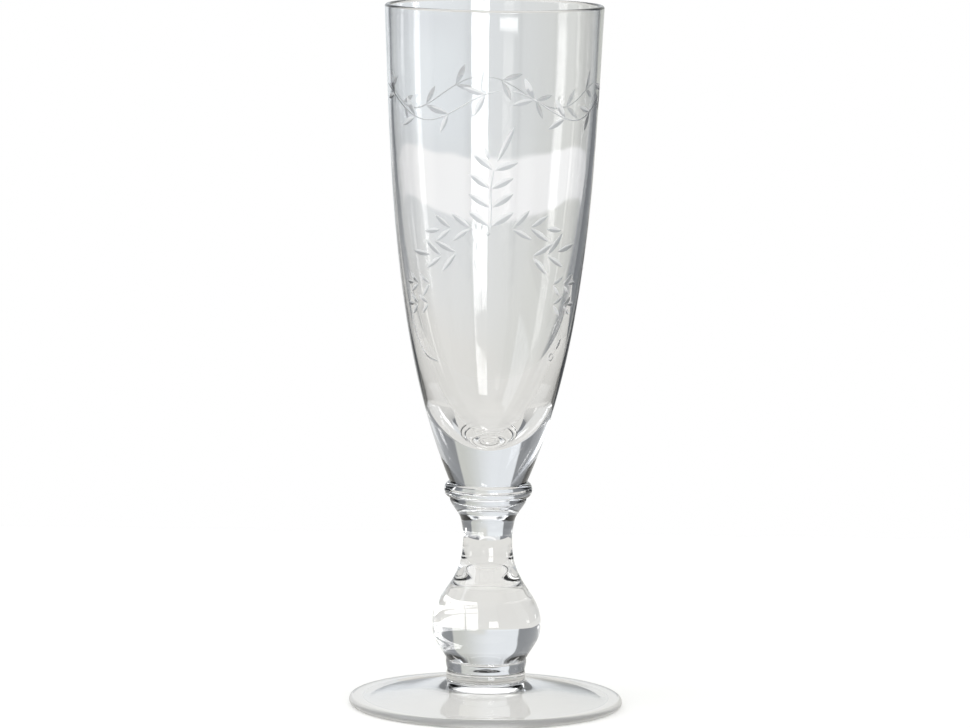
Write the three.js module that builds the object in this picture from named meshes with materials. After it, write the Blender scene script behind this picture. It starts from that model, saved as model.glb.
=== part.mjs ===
// Champagne glass: an egg-shaped flute bowl on a double collar, a baluster stem with a bulb, and a domed foot.
// Six gathers of clear glass, each turned round +Z and stacked face to face. Millimetres, +Z up, foot on z = 0.
import * as THREE from "three";

// Bowl
const BOWL_HEIGHT = 129; // from the collar up to the rim
const RIM_RADIUS = 29.4;
const RIM_WALL = 1.5; // glass at the lip, which is melted round
const BOWL_BASE_RADIUS = 10.4;
const BOWL_FLOOR = 10.8; // solid glass under the cavity
const BOWL_SWELL_OUT = 16.1; // the outside leaves the base towards a point this far out
const BOWL_SWELL_UP = 38.4; // and this far up
const BOWL_RIM_LEAN_IN = 2.1; // it reaches the lip from a point this far in
const BOWL_RIM_LEAN_DOWN = 43; // and this far down
const CAVITY_FLOOR_REACH = 9.9; // the cavity's round floor leaves the axis level, this far
const CAVITY_RIM_LEAN_IN = 1.9; // the inside reaches the lip from this far in
const CAVITY_RIM_LEAN_DOWN = 96.5; // and this far down

// Collar ring, the bead under the bowl
const COLLAR_RING_HEIGHT = 4;
const COLLAR_RING_BULGE = 1.5; // how far the bead stands out between its upper and lower edges

// Collar step, the tapering tier under the ring
const COLLAR_STEP_HEIGHT = 6.4;
const COLLAR_STEP_RADIUS = 10.35;
const COLLAR_STEP_LAND = 0.7; // upright band at its top
const COLLAR_STEP_SHOULDER = 1.2; // roundness under that band
const COLLAR_STEP_SWEEP_OUT = 0.35; // the taper leaves the stem towards a point this far out
const COLLAR_STEP_SWEEP_UP = 2; // and this far up

// Baluster stem
const STEM_HEIGHT = 37.8;
const STEM_TOP_RADIUS = 7.25;
const STEM_TOP_DROP = 1.5; // height over which the top flares
const NECK_RADIUS = 6.67;
const NECK_DROP = 5.7; // from the stem's top down to the narrowest place
const NECK_ROUND = 3; // roundness of the neck above its narrowest place
const NECK_EASE = 12; // and below it, where it turns into the bulb's flank
const BULB_RADIUS = 14.67;
const BULB_RISE = 10.2; // from the foot collar up to the widest place
const BULB_SHOULDER = 7.6; // roundness of the bulb above its widest place
const BULB_UNDERSIDE = 4.8; // and below it
const BULB_BASE_RADIUS = 10.75;
const BULB_BASE_LEAN_OUT = 3.5; // the bulb reaches the foot collar from a point this far out
const BULB_BASE_LEAN_UP = 5.9; // and this far up

// Foot collar, two soft bands with a groove between them
const FOOT_COLLAR_HEIGHT = 5.9;
const FOOT_COLLAR_LOWER_BAND = 2.8; // height of the band under the groove
const FOOT_COLLAR_GROOVE_RADIUS = 10.35;
const FOOT_COLLAR_BULGE = 0.3; // how far each band swells

// Foot
const FOOT_RADIUS = 37.05;
const FOOT_EDGE_THICKNESS = 2.4;
const FOOT_SEAT_HEIGHT = 6.9; // where the foot collar sits
const FOOT_SEAT_RADIUS = 10.55;
const FOOT_FILLET_WIDTH = 3.2; // the hollow curve that climbs to the seat
const FOOT_FILLET_HEIGHT = 1.1;
const FOOT_EDGE_EASE = 5; // the dome leaves the round edge level, this far
const RESTING_RING_WIDTH = 2.6;
const UNDERSIDE_HOLLOW = 4.2; // rise of the underside over the table, in the middle
const HOLLOW_CROWN_REACH = 15; // the underside leaves the axis level, this far
const HOLLOW_LEAN_IN = 13.3; // and reaches the resting ring from this far in
const HOLLOW_LEAN_UP = 2.1; // and this far up

// Fineness of the turned surfaces
const SEGMENTS_ROUND = 48;
const STEPS_WALL = 16; // along the bowl's outside and along its cavity
const STEPS_CURVE = 9;
const STEPS_BEAD = 6;
const STEPS_LIP = 4;
const STEPS_SMALL = 3;

const CLEAR_GLASS = 0xdfe3e4;
const QUARTER_TURN = Math.PI / 2;

// The straight stretch of an outline. Its x is the radius and its y the height over the piece's lowest face.
function line(from, to) {
  return new THREE.LineCurve(new THREE.Vector2(...from), new THREE.Vector2(...to));
}

// A curved stretch between two ends, each steered by the handle beside it.
function curve(from, fromHandle, toHandle, to) {
  const corners = [from, fromHandle, toHandle, to].map((corner) => new THREE.Vector2(...corner));
  return new THREE.CubicBezierCurve(...corners);
}

// A round stretch of small radius about a centre, turning from one angle to the other.
function round(centre, radius, fromAngle, toAngle) {
  return new THREE.EllipseCurve(...centre, radius, radius, fromAngle, toAngle);
}

// A band that swells out by bulge on its way from its lower to its upper edge.
function band(from, bulge, to) {
  const reach = (4 / 3) * bulge; // a cubic curve reaches three quarters of the way to its handles
  return curve(from, [from[0] + reach, from[1]], [to[0] + reach, to[1]], to);
}

// The points of an outline, from stretches that are each given with their number of steps.
function outlineOf(...stretches) {
  const points = [];
  for (const [stretch, steps] of stretches) {
    const fresh = stretch.getPoints(steps);
    points.push(...(points.length ? fresh.slice(1) : fresh));
  }
  return points;
}

// One closed piece of clear glass, turned from an outline that starts and ends on the axis.
function turnedGlass(name, baseHeight, outline) {
  const geometry = new THREE.LatheGeometry(outline, SEGMENTS_ROUND);
  geometry.rotateX(QUARTER_TURN);
  const material = new THREE.MeshStandardMaterial({
    color: CLEAR_GLASS,
    roughness: 0.03,
    metalness: 0,
    transparent: true,
    opacity: 0.35,
  });
  const mesh = new THREE.Mesh(geometry, material);
  mesh.name = name;
  mesh.position.z = baseHeight;
  return mesh;
}

function makeFoot(baseHeight) {
  const edge = FOOT_EDGE_THICKNESS / 2;
  const edgeCentre = FOOT_RADIUS - edge;
  const ringInner = edgeCentre - RESTING_RING_WIDTH;
  const filletOuter = [FOOT_SEAT_RADIUS + FOOT_FILLET_WIDTH, FOOT_SEAT_HEIGHT - FOOT_FILLET_HEIGHT];
  const domeRun = edgeCentre - filletOuter[0];
  const domeRise = filletOuter[1] - FOOT_EDGE_THICKNESS;
  const climb = domeRise / domeRun;
  const hollow = curve(
    [0, UNDERSIDE_HOLLOW],
    [HOLLOW_CROWN_REACH, UNDERSIDE_HOLLOW],
    [ringInner - HOLLOW_LEAN_IN, HOLLOW_LEAN_UP],
    [ringInner, 0],
  );
  const dome = curve(
    [edgeCentre, FOOT_EDGE_THICKNESS],
    [edgeCentre - FOOT_EDGE_EASE, FOOT_EDGE_THICKNESS],
    [filletOuter[0] + domeRun / 2, filletOuter[1] - domeRise / 2],
    filletOuter,
  );
  const fillet = curve(
    filletOuter,
    [filletOuter[0] - FOOT_FILLET_WIDTH / 2, filletOuter[1] + (climb * FOOT_FILLET_WIDTH) / 2],
    [FOOT_SEAT_RADIUS, FOOT_SEAT_HEIGHT - FOOT_FILLET_HEIGHT / 2],
    [FOOT_SEAT_RADIUS, FOOT_SEAT_HEIGHT],
  );
  return turnedGlass("foot", baseHeight, outlineOf(
    [hollow, STEPS_CURVE],
    [line([ringInner, 0], [edgeCentre, 0]), 1],
    [round([edgeCentre, edge], edge, -QUARTER_TURN, QUARTER_TURN), 2 * STEPS_SMALL],
    [dome, STEPS_CURVE],
    [fillet, STEPS_SMALL],
    [line([FOOT_SEAT_RADIUS, FOOT_SEAT_HEIGHT], [0, FOOT_SEAT_HEIGHT]), 1],
  ));
}

function makeFootCollar(baseHeight) {
  const groove = [FOOT_COLLAR_GROOVE_RADIUS, FOOT_COLLAR_LOWER_BAND];
  const lower = [FOOT_SEAT_RADIUS, 0];
  const upper = [BULB_BASE_RADIUS, FOOT_COLLAR_HEIGHT];
  return turnedGlass("foot_collar", baseHeight, outlineOf(
    [line([0, 0], lower), 1],
    [band(lower, FOOT_COLLAR_BULGE, groove), STEPS_BEAD],
    [band(groove, FOOT_COLLAR_BULGE, upper), STEPS_BEAD],
    [line(upper, [0, FOOT_COLLAR_HEIGHT]), 1],
  ));
}

function makeStem(baseHeight) {
  const neckHeight = STEM_HEIGHT - NECK_DROP;
  const base = [BULB_BASE_RADIUS, 0];
  const widest = [BULB_RADIUS, BULB_RISE];
  const neck = [NECK_RADIUS, neckHeight];
  const top = [STEM_TOP_RADIUS, STEM_HEIGHT];
  const underside = curve(
    base,
    [BULB_BASE_RADIUS + BULB_BASE_LEAN_OUT, BULB_BASE_LEAN_UP],
    [BULB_RADIUS, BULB_RISE - BULB_UNDERSIDE],
    widest,
  );
  const flank = curve(
    widest,
    [BULB_RADIUS, BULB_RISE + BULB_SHOULDER],
    [NECK_RADIUS, neckHeight - NECK_EASE],
    neck,
  );
  const throat = curve(
    neck,
    [NECK_RADIUS, neckHeight + NECK_ROUND],
    [(STEM_TOP_RADIUS + NECK_RADIUS) / 2, STEM_HEIGHT - STEM_TOP_DROP],
    top,
  );
  return turnedGlass("baluster_stem", baseHeight, outlineOf(
    [line([0, 0], base), 1],
    [underside, STEPS_CURVE],
    [flank, STEPS_WALL],
    [throat, STEPS_SMALL],
    [line(top, [0, STEM_HEIGHT]), 1],
  ));
}

function makeCollarStep(baseHeight) {
  const landHeight = COLLAR_STEP_HEIGHT - COLLAR_STEP_LAND;
  const bottom = [STEM_TOP_RADIUS, 0];
  const shoulder = [COLLAR_STEP_RADIUS, landHeight];
  const top = [COLLAR_STEP_RADIUS, COLLAR_STEP_HEIGHT];
  const taper = curve(
    bottom,
    [STEM_TOP_RADIUS + COLLAR_STEP_SWEEP_OUT, COLLAR_STEP_SWEEP_UP],
    [COLLAR_STEP_RADIUS, landHeight - COLLAR_STEP_SHOULDER],
    shoulder,
  );
  return turnedGlass("collar_step", baseHeight, outlineOf(
    [line([0, 0], bottom), 1],
    [taper, STEPS_CURVE],
    [line(shoulder, top), 1],
    [line(top, [0, COLLAR_STEP_HEIGHT]), 1],
  ));
}

function makeCollarRing(baseHeight) {
  const lower = [COLLAR_STEP_RADIUS, 0];
  const upper = [BOWL_BASE_RADIUS, COLLAR_RING_HEIGHT];
  return turnedGlass("collar_ring", baseHeight, outlineOf(
    [line([0, 0], lower), 1],
    [band(lower, COLLAR_RING_BULGE, upper), 2 * STEPS_BEAD],
    [line(upper, [0, COLLAR_RING_HEIGHT]), 1],
  ));
}

function makeBowl(baseHeight) {
  const lipRound = RIM_WALL / 2;
  const lipHeight = BOWL_HEIGHT - lipRound;
  const insideRim = RIM_RADIUS - RIM_WALL;
  const base = [BOWL_BASE_RADIUS, 0];
  const outside = curve(
    base,
    [BOWL_BASE_RADIUS + BOWL_SWELL_OUT, BOWL_SWELL_UP],
    [RIM_RADIUS - BOWL_RIM_LEAN_IN, lipHeight - BOWL_RIM_LEAN_DOWN],
    [RIM_RADIUS, lipHeight],
  );
  const cavity = curve(
    [insideRim, lipHeight],
    [insideRim - CAVITY_RIM_LEAN_IN, lipHeight - CAVITY_RIM_LEAN_DOWN],
    [CAVITY_FLOOR_REACH, BOWL_FLOOR],
    [0, BOWL_FLOOR],
  );
  return turnedGlass("bowl", baseHeight, outlineOf(
    [line([0, 0], base), 1],
    [outside, STEPS_WALL],
    [round([RIM_RADIUS - lipRound, lipHeight], lipRound, 0, 2 * QUARTER_TURN), STEPS_LIP],
    [cavity, STEPS_WALL],
  ));
}

// The stack, each piece standing on the one before it.
const STACK = [
  [makeFoot, FOOT_SEAT_HEIGHT],
  [makeFootCollar, FOOT_COLLAR_HEIGHT],
  [makeStem, STEM_HEIGHT],
  [makeCollarStep, COLLAR_STEP_HEIGHT],
  [makeCollarRing, COLLAR_RING_HEIGHT],
  [makeBowl, BOWL_HEIGHT],
];

const glass = new THREE.Group();
let seat = 0;
for (const [makePiece, height] of STACK) {
  glass.add(makePiece(seat));
  seat += height;
}

export default glass;
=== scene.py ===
"""Champagne glass: six gathers of clear glass on one axis, with a wheel-cut garland round the bowl."""

import logging
import math
from dataclasses import dataclass, field, fields, replace
from enum import Enum, StrEnum
from functools import cache, partial
from typing import ClassVar, Iterable, Sequence

import bpy
import numpy as np
from mathutils import Matrix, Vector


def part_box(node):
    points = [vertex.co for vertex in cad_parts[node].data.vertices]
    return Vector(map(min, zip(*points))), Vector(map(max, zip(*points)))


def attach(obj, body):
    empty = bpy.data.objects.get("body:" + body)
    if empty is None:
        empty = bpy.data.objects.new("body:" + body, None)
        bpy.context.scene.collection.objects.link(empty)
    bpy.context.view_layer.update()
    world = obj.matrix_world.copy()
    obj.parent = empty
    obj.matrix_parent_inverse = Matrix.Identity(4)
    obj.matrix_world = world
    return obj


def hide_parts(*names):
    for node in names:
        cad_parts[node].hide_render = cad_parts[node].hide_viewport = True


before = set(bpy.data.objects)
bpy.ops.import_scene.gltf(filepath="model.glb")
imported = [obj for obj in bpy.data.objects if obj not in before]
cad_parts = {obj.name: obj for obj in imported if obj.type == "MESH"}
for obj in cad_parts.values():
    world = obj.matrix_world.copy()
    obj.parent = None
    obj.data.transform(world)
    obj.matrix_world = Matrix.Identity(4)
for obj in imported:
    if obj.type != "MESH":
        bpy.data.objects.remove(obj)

logging.basicConfig(level=logging.INFO, format="%(levelname)s %(message)s")
log = logging.getLogger("champagne_glass")

MM = 0.001
WELD = 1e-7  # metres within which points become one
SAME_LEVEL = 1e-6  # metres within which two heights are the same
ON_AXIS = 1e-9  # the least distance from the axis that is divided by
QUARTER_TURN = math.tau / 4
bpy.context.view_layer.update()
BODY = "root"
WHITE = "#ffffff"
SOFTLY = {"interpolation_type": "SMOOTHSTEP"}  # how a Map Range node runs from one end to the other

Point = tuple[float, float]
Colour = tuple[float, float, float, float]
Value = bpy.types.Node | bpy.types.NodeSocket | bpy.types.ID | tuple[float, ...] | float | str


class Slot(StrEnum):
    """The kinds of glass in the part's record."""

    BOWL = "bowl_glass"
    STEM = "stem_glass"
    FOOT = "foot_glass"


class Part(StrEnum):
    """The parts of a branch that the wheel touches, as the inputs of its tree call them."""

    TWIG = "Twig"
    LEAF = "Leaf"


class Along(Enum):
    """The ways to state a place on a line, each with the name of its socket."""

    LENGTH = "Length"
    FACTOR = "Factor"


def linear(sheet_colour: str, strength: float = 1.0) -> Colour:
    """Turns an sRGB colour into Blender's linear one.

    Args:
        sheet_colour: The colour as "#rrggbb".
        strength: For a light, how many times as bright as white paper it is.

    Returns:
        Linear red, green and blue, and an alpha of 1.
    """
    channels = [int(sheet_colour[i : i + 2], 16) / 255 for i in (1, 3, 5)]
    red, green, blue = (c / 12.92 if c <= 0.04045 else ((c + 0.055) / 1.055) ** 2.4 for c in channels)
    return red * strength, green * strength, blue * strength, 1.0


def add_node(
    tree: bpy.types.NodeTree,
    kind: str,
    *values: Value,
    inputs: dict[str, Value] | None = None,
    **settings: Value,
) -> bpy.types.Node:
    """Adds one node with its settings, values and links.

    Another node's output that is given as a value is linked. A node that is given stands for the first of its
    outputs in use.

    Args:
        tree: The node tree of a material, a world or a modifier.
        kind: The node's type.
        *values: What its first sockets get, in their order.
        inputs: Socket name to what that socket gets.
        **settings: Properties of the node itself, which are set before its sockets.

    Returns:
        The new node.
    """
    node = tree.nodes.new(kind)
    for name, value in settings.items():
        setattr(node, name, value)
    for key, value in {**dict(enumerate(values)), **(inputs or {})}.items():
        if isinstance(value, bpy.types.Node):
            value = next(output for output in value.outputs if output.enabled)
        if isinstance(value, bpy.types.NodeSocket):
            tree.links.new(value, node.inputs[key])
        else:
            node.inputs[key].default_value = value
    return node


def add_object(name: str, data: bpy.types.ID) -> bpy.types.Object:
    """Adds an object to the scene.

    Args:
        name: The object's name.
        data: Its mesh or camera.

    Returns:
        The object.
    """
    thing = bpy.data.objects.new(name, data)
    bpy.context.scene.collection.objects.link(thing)
    return thing


def add_line(name: str, points: Sequence[tuple[float, float, float]]) -> bpy.types.Object:
    """Adds an object whose mesh is a line through points.

    Args:
        name: The object's name.
        points: The points, in metres.

    Returns:
        The object.
    """
    mesh = bpy.data.meshes.new(name)
    mesh.from_pydata(points, [(i, i + 1) for i in range(len(points) - 1)], [])
    return add_object(name, mesh)


@dataclass(frozen=True)
class Finish:
    """One surface: what it is made of, and how it was worked."""

    name: str

    def make(self) -> bpy.types.Material:
        """Builds the material.

        Returns:
            The finished material.
        """
        material = bpy.data.materials.new(self.name)
        material.use_nodes = True
        tree = material.node_tree
        tree.nodes.clear()
        add_node(tree, "ShaderNodeOutputMaterial", self.shader(tree))
        return material

    def shader(self, tree: bpy.types.NodeTree) -> bpy.types.Node:
        """Builds the nodes that give the surface its look, and returns the last."""
        raise NotImplementedError


@dataclass(frozen=True)
class PolishedGlass(Finish):
    """Soda-lime glass, blown or tooled hot and left with its fire polish.

    It is clear and smooth as water. The breath of the maker leaves it very slightly wavy, so that straight
    lights break up a little in it, and handling leaves a faint film that softens some reflections.
    """

    tint: str = "#fcfcfc"
    ior: float = 1.52
    wave_length: float = 16 * MM
    wave_depth: float = 0.03 * MM
    wave_detail: float = 1.0
    film_patch: float = 9 * MM
    film_detail: float = 4.0
    film_from: float = 0.52  # of its noise, where the film starts
    film_full: float = 0.75  # and where it is full
    clean_roughness: float = 0.0
    film_roughness: float = 0.035

    def shader(self, tree: bpy.types.NodeTree) -> bpy.types.Node:
        """Builds the nodes of wavy clear glass with a film in patches.

        Args:
            tree: The material's node tree.

        Returns:
            The shader node.
        """
        add = partial(add_node, tree)
        place = add("ShaderNodeTexCoord").outputs["Object"]
        waves = add(
            "ShaderNodeTexNoise",
            inputs={"Vector": place, "Scale": 1 / self.wave_length, "Detail": self.wave_detail},
        )
        ripple = add("ShaderNodeBump", inputs={"Strength": 1.0, "Distance": self.wave_depth, "Height": waves})
        film = add(
            "ShaderNodeTexNoise",
            inputs={"Vector": place, "Scale": 1 / self.film_patch, "Detail": self.film_detail},
        )
        patches = {
            "Value": film,
            "From Min": self.film_from,
            "From Max": self.film_full,
            "To Min": self.clean_roughness,
            "To Max": self.film_roughness,
        }
        glass = {
            "Base Color": linear(self.tint),
            "Roughness": add("ShaderNodeMapRange", inputs=patches),
            "IOR": self.ior,
            "Transmission Weight": 1.0,
            "Normal": ripple,
        }
        return add("ShaderNodeBsdfPrincipled", inputs=glass)


@dataclass(frozen=True)
class FusedJoint(Finish):
    """The disc where two gathers were fused hot: one glass runs on into the other, so it can't be seen.

    The ring on which the foot rests has it too, because a polished ring that is pressed on the paper lets the
    light straight through.
    """

    name: str = "fused_glass_joint"

    def shader(self, tree: bpy.types.NodeTree) -> bpy.types.Node:
        """Builds and returns the one node that lets all light through."""
        return add_node(tree, "ShaderNodeBsdfTransparent", linear(WHITE))


@dataclass(frozen=True)
class GroundGlass(Finish):
    """Soda-lime glass cut with a fine stone wheel and left unpolished.

    It is an even, silky matt that catches the light.
    """

    tint: str = "#f4f6f6"
    ior: float = 1.52
    grit: float = 0.12 * MM  # real grit is about 0.03 mm; drawn coarser, or it would vanish between pixels
    grit_depth: float = 0.125  # of the grit's own size
    grit_detail: float = 2.0
    bite: float = 0.35
    roughness: float = 0.5
    scatter: float = 0.0  # the share of the light that deep scratches throw back as white

    def shader(self, tree: bpy.types.NodeTree) -> bpy.types.Node:
        """Builds the nodes of glass with fine even grains.

        Args:
            tree: The material's node tree.

        Returns:
            The shader node.
        """
        add = partial(add_node, tree)
        place = add("ShaderNodeTexCoord").outputs["Object"]
        grains = add(
            "ShaderNodeTexNoise",
            inputs={"Vector": place, "Scale": 1 / self.grit, "Detail": self.grit_detail},
        )
        depth = self.grit * self.grit_depth
        bumps = add("ShaderNodeBump", inputs={"Strength": self.bite, "Distance": depth, "Height": grains})
        glass = {
            "Base Color": linear(self.tint),
            "Roughness": self.roughness,
            "IOR": self.ior,
            "Transmission Weight": 1.0 - self.scatter,
            "Normal": bumps,
        }
        return add("ShaderNodeBsdfPrincipled", inputs=glass)


@dataclass(frozen=True)
class MattPaper(Finish):
    """Matt white paper.

    To the camera it is white and keeps the glass's shadow, and in glass it shows its own tone.
    Near the glass that tone is raised, as a painted pool of light.
    """

    name: str = "matt_white_paper"
    colour: str = "#e2e1dd"
    lift_for_camera: float = 0.34
    even_in_glass: float = 0.85  # the share of its tone that glass shows whatever the shade
    tone_in_glass: float = 1.02
    tone_under_glass: float = 1.22  # painted pool of light: the paper under the glass is drawn brighter, in place of the light the glass gathers there
    gathered_within: Point = (0.037, 0.052)  # from full to none, in metres away from the axis

    def shader(self, tree: bpy.types.NodeTree) -> bpy.types.Node:
        """Builds the nodes of the paper as the camera sees it, and as glass shows it.

        Args:
            tree: The material's node tree.

        Returns:
            The shader node.
        """
        add = partial(add_node, tree)
        paths = add("ShaderNodeLightPath").outputs
        lift = add("ShaderNodeMath", paths["Is Camera Ray"], self.lift_for_camera, operation="MULTIPLY")
        matt = add("ShaderNodeBsdfDiffuse", linear(self.colour))
        glow = add("ShaderNodeEmission", linear(WHITE), lift)
        lifted = add("ShaderNodeAddShader", matt, glow)
        mirrored, through = paths["Is Glossy Ray"], paths["Is Transmission Ray"]
        glassy = add("ShaderNodeMath", mirrored, through, operation="MAXIMUM")
        even = add("ShaderNodeMath", glassy, self.even_in_glass, operation="MULTIPLY")
        place = add("ShaderNodeTexCoord").outputs["Object"]
        # painted pool of light: the tone that glass shows is raised near the axis, under the glass
        painted_caustic_ramp = {
            "Value": add("ShaderNodeVectorMath", place, operation="LENGTH"),
            "From Min": self.gathered_within[0],
            "From Max": self.gathered_within[1],
            "To Min": self.tone_under_glass,
            "To Max": self.tone_in_glass,
        }
        painted_caustic_strength = add("ShaderNodeMapRange", inputs=painted_caustic_ramp, **SOFTLY)
        tone = add("ShaderNodeEmission", linear(self.colour), painted_caustic_strength)
        return add("ShaderNodeMixShader", even, lifted, tone)


def line(start: Point, end: Point) -> list[Point]:
    """A straight stretch of outline, as its two points."""
    return [start, end]


def curve(start: Point, start_handle: Point, end_handle: Point, end: Point, steps: int = 40) -> list[Point]:
    """A curved stretch of outline, steered by the handle beside each end.

    Args:
        start: Radius and height of its first point.
        start_handle: The handle that it leaves towards.
        end_handle: The handle that it arrives from.
        end: Radius and height of its last point.
        steps: How many steps it takes.

    Returns:
        The points, both ends among them.
    """
    t = np.linspace(0, 1, steps + 1)[:, None]
    corners = [np.array(corner) for corner in (start, start_handle, end_handle, end)]
    weights = ((1 - t) ** 3, 3 * (1 - t) ** 2 * t, 3 * (1 - t) * t**2, t**3)
    return [tuple(map(float, point)) for point in sum(w * c for w, c in zip(weights, corners))]


def rounding(centre: Point, radius: float, start: float, end: float, steps: int = 16) -> list[Point]:
    """A stretch of a circle.

    Args:
        centre: Radius and height of its centre.
        radius: The circle's own radius.
        start: First angle in degrees, 0 pointing away from the axis and 90 up.
        end: Last angle in degrees.
        steps: How many steps it takes.

    Returns:
        The points, both ends among them.
    """
    turns = np.radians(np.linspace(start, end, steps + 1))
    return [(centre[0] + radius * math.cos(a), centre[1] + radius * math.sin(a)) for a in turns]


def band(start: Point, bulge: float, end: Point, steps: int = 16) -> list[Point]:
    """A stretch that swells outwards between its lower and its upper edge.

    Args:
        start: Radius and height of the lower edge.
        bulge: How far it swells out.
        end: Radius and height of the upper edge.
        steps: How many steps it takes.

    Returns:
        The points, both ends among them.
    """
    reach = 4 / 3 * bulge  # a cubic curve reaches three quarters of the way to its handles
    return curve(start, (start[0] + reach, start[1]), (end[0] + reach, end[1]), end, steps)


def outline_of(*stretches: Sequence[Point]) -> list[Point]:
    """Joins stretches of outline end to end.

    Args:
        *stretches: Stretches that each start where the one before ends.

    Returns:
        All points, without the doubled ones.
    """
    points = list(stretches[0])
    for stretch in stretches[1:]:
        points.extend(stretch[1:])
    return points


def smooth_path(corners: Sequence[Point], steps: int = 14) -> np.ndarray:
    """Draws a smooth line through points.

    Args:
        corners: The points that it goes through.
        steps: How many steps it takes between two of them.

    Returns:
        An array of points, one a row.
    """
    through = np.array(corners, dtype=float)
    if len(through) == 2:
        t = np.linspace(0, 1, steps + 1)[:, None]
        return through[0] * (1 - t) + through[1] * t
    slopes = np.gradient(through, axis=0)
    t = np.linspace(0, 1, steps, endpoint=False)[:, None]
    stretches = []
    for a, b, slope_a, slope_b in zip(through, through[1:], slopes, slopes[1:]):
        weights = (2 * t**3 - 3 * t**2 + 1, t**3 - 2 * t**2 + t, 3 * t**2 - 2 * t**3, t**3 - t**2)
        stretches.append(sum(w * c for w, c in zip(weights, (a, slope_a, b, slope_b))))
    return np.vstack([*stretches, through[-1:]])


def vectors(parts: bpy.types.bpy_prop_collection, name: str) -> np.ndarray:
    """Reads a vector, such as its place, from every part of a mesh.

    Args:
        parts: The mesh's vertices or faces.
        name: The vector's name.

    Returns:
        An array with one vector a row.
    """
    values = np.empty(len(parts) * 3)
    parts.foreach_get(name, values)
    return values.reshape(-1, 3)


def numbers(parts: bpy.types.bpy_prop_collection, name: str) -> np.ndarray:
    """Reads a whole number, such as its material's, from every part of a mesh.

    Args:
        parts: The mesh's faces or corners.
        name: The number's name.

    Returns:
        An array with one number for each part.
    """
    values = np.empty(len(parts), dtype=np.int32)
    parts.foreach_get(name, values)
    return values


def off_axis(places: np.ndarray) -> tuple[np.ndarray, np.ndarray]:
    """The distance of each place from the axis, and the level direction in which it lies."""
    reach = np.hypot(places[:, 0], places[:, 1])
    return reach, places[:, :2] / np.maximum(reach, ON_AXIS)[:, None]


def dress(mesh: bpy.types.Mesh, chosen: np.ndarray, material: bpy.types.Material) -> None:
    """Gives some faces of a mesh a material of their own.

    Args:
        mesh: The mesh.
        chosen: For each face, whether it is one of them.
        material: Their material, which the mesh doesn't have yet.
    """
    materials = numbers(mesh.polygons, "material_index")
    materials[chosen] = len(mesh.materials)
    mesh.materials.append(material)
    mesh.polygons.foreach_set("material_index", materials)


def drop_empty_slots(mesh: bpy.types.Mesh) -> None:
    """Leaves only the material slots that hold a material.

    Args:
        mesh: The mesh whose slots are tidied.
    """
    held = [(number, material) for number, material in enumerate(mesh.materials) if material]
    places = np.zeros(len(mesh.materials) + 1, dtype=np.int32)
    for place, (number, _) in enumerate(held):
        places[number] = place
    materials = places[numbers(mesh.polygons, "material_index")]
    mesh.materials.clear()
    for _, material in held:
        mesh.materials.append(material)
    mesh.polygons.foreach_set("material_index", materials)


def plain_mesh(thing: bpy.types.Object, tree: bpy.types.NodeTree, values: dict[str, Value]) -> None:
    """Runs a node tree over an object and keeps only the mesh that it makes.

    Args:
        thing: The object, which keeps no modifier.
        tree: The geometry node tree.
        values: Input name to value.
    """
    modifier = thing.modifiers.new(tree.name, "NODES")
    modifier.node_group = tree
    sockets = {item.name: item.identifier for item in tree.interface.items_tree if item.in_out == "INPUT"}
    for name, value in values.items():
        modifier[sockets[name]] = value
    bpy.context.view_layer.update()
    graph = bpy.context.evaluated_depsgraph_get()
    evaluated = thing.evaluated_get(graph)
    mesh = bpy.data.meshes.new_from_object(evaluated, preserve_all_data_layers=True, depsgraph=graph)
    thing.modifiers.remove(modifier)
    old, thing.data = thing.data, mesh
    bpy.data.meshes.remove(old)
    mesh.name = thing.name
    drop_empty_slots(mesh)


class ShapeTree:
    """A modifier's node tree, with named inputs and one geometry that comes out."""

    def __init__(self, name: str, inputs: dict[str, str], output: str) -> None:
        """Makes the tree with its sockets.

        Args:
            name: The tree's name.
            inputs: Name and kind of each input.
            output: Name of the geometry that comes out.
        """
        self.tree = bpy.data.node_groups.new(name, "GeometryNodeTree")
        for label, kind in inputs.items():
            self.tree.interface.new_socket(label, in_out="INPUT", socket_type="NodeSocket" + kind)
        self.tree.interface.new_socket(output, in_out="OUTPUT", socket_type="NodeSocketGeometry")
        self.add = partial(add_node, self.tree)
        self.given = self.add("NodeGroupInput").outputs

    @classmethod
    @cache
    def made(cls) -> bpy.types.NodeTree:
        """The tree, which is built once."""
        return cls().tree


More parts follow.
